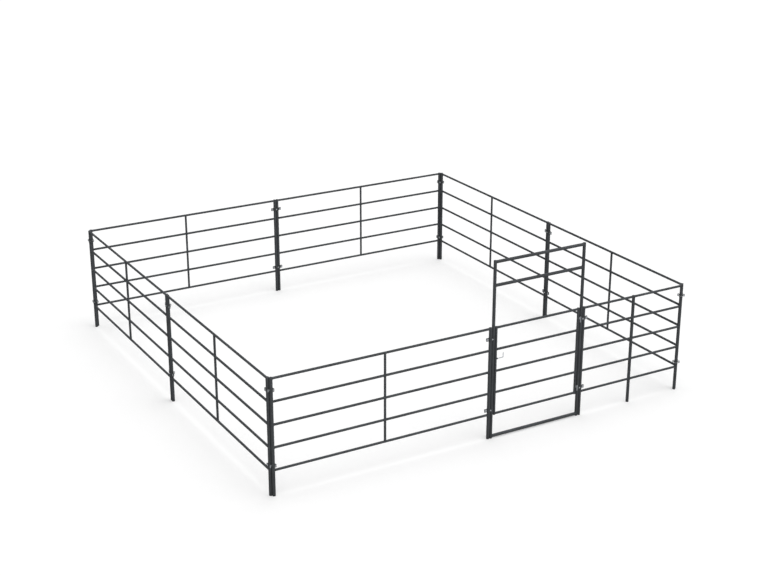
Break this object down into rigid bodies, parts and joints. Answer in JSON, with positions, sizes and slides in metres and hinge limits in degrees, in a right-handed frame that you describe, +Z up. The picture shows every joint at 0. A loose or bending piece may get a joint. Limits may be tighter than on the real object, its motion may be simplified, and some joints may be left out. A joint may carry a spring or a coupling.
{
  "type": "livestock pen",
  "caption": "Square free-standing livestock pen of clamped tubular rail panels, with a tall bow gate frame, a swinging railed leaf and a slide latch.",
  "frame": {"origin": "on the ground at the middle of the pen's footprint", "axes": "+Z up, the gate side faces -Y, +X to the right seen from outside the gate"},
  "size_m": [6.1762, 6.1802, 2.3974],
  "materials": {
    "frame_coat": "charcoal powder coat, matt",
    "clamp_coat": "charcoal powder coat on pressed steel, matt",
    "hinge_zinc": "dull galvanised zinc",
    "zinc": "bright zinc plate"
  },
  "bodies": {
    "pen": {"front_panel": "frame_coat", "right_panel_1": "frame_coat", "right_panel_2": "frame_coat", "back_panel_1": "frame_coat", "back_panel_2": "frame_coat", "left_panel_1": "frame_coat", "left_panel_2": "frame_coat", "bow_frame": "frame_coat", "short_panel": "frame_coat", "hinge_post_knuckle_upper": "hinge_zinc", "hinge_post_knuckle_lower": "hinge_zinc", "hinge_pin_upper": "zinc", "hinge_pin_lower": "zinc", "latch_keeper": "frame_coat", "gate_stop": "frame_coat", "clamp_gate_left_upper_outer": "clamp_coat", "clamp_gate_left_upper_inner": "clamp_coat", "clamp_gate_left_lower_outer": "clamp_coat", "clamp_gate_left_lower_inner": "clamp_coat", "clamp_gate_right_upper_outer": "clamp_coat", "clamp_gate_right_upper_inner": "clamp_coat", "clamp_gate_right_lower_outer": "clamp_coat", "clamp_gate_right_lower_inner": "clamp_coat", "clamp_right_middle_upper_outer": "clamp_coat", "clamp_right_middle_upper_inner": "clamp_coat", "clamp_right_middle_lower_outer": "clamp_coat", "clamp_right_middle_lower_inner": "clamp_coat", "clamp_back_middle_upper_outer": "clamp_coat", "clamp_back_middle_upper_inner": "clamp_coat", "clamp_back_middle_lower_outer": "clamp_coat", "clamp_back_middle_lower_inner": "clamp_coat", "clamp_left_middle_upper_outer": "clamp_coat", "clamp_left_middle_upper_inner": "clamp_coat", "clamp_left_middle_lower_outer": "clamp_coat", "clamp_left_middle_lower_inner": "clamp_coat", "clamp_front_left_corner_upper_outer": "clamp_coat", "clamp_front_left_corner_upper_inner": "clamp_coat", "clamp_front_left_corner_lower_outer": "clamp_coat", "clamp_front_left_corner_lower_inner": "clamp_coat", "clamp_front_right_corner_upper_outer": "clamp_coat", "clamp_front_right_corner_upper_inner": "clamp_coat", "clamp_front_right_corner_lower_outer": "clamp_coat", "clamp_front_right_corner_lower_inner": "clamp_coat", "clamp_back_right_corner_upper_outer": "clamp_coat", "clamp_back_right_corner_upper_inner": "clamp_coat", "clamp_back_right_corner_lower_outer": "clamp_coat", "clamp_back_right_corner_lower_inner": "clamp_coat", "clamp_back_left_corner_upper_outer": "clamp_coat", "clamp_back_left_corner_upper_inner": "clamp_coat", "clamp_back_left_corner_lower_outer": "clamp_coat", "clamp_back_left_corner_lower_inner": "clamp_coat"},
    "gate": {"gate_leaf": "frame_coat", "hinge_leaf_knuckle_upper": "hinge_zinc", "hinge_leaf_knuckle_lower": "hinge_zinc", "latch_guide": "frame_coat"},
    "latch": {"latch_bolt": "zinc"}
  },
  "joints": [
    {"name": "gate_swing", "type": "hinge", "parent": "pen", "child": "gate", "pos_m": [1.3432, -3.0843, 0], "axis": [0, 0, 1], "range_deg": [0, 180]},
    {"name": "latch_slide", "type": "slide", "parent": "gate", "child": "latch", "axis": [1, 0, 0], "range_m": [-0.045, 0]}
  ]
}
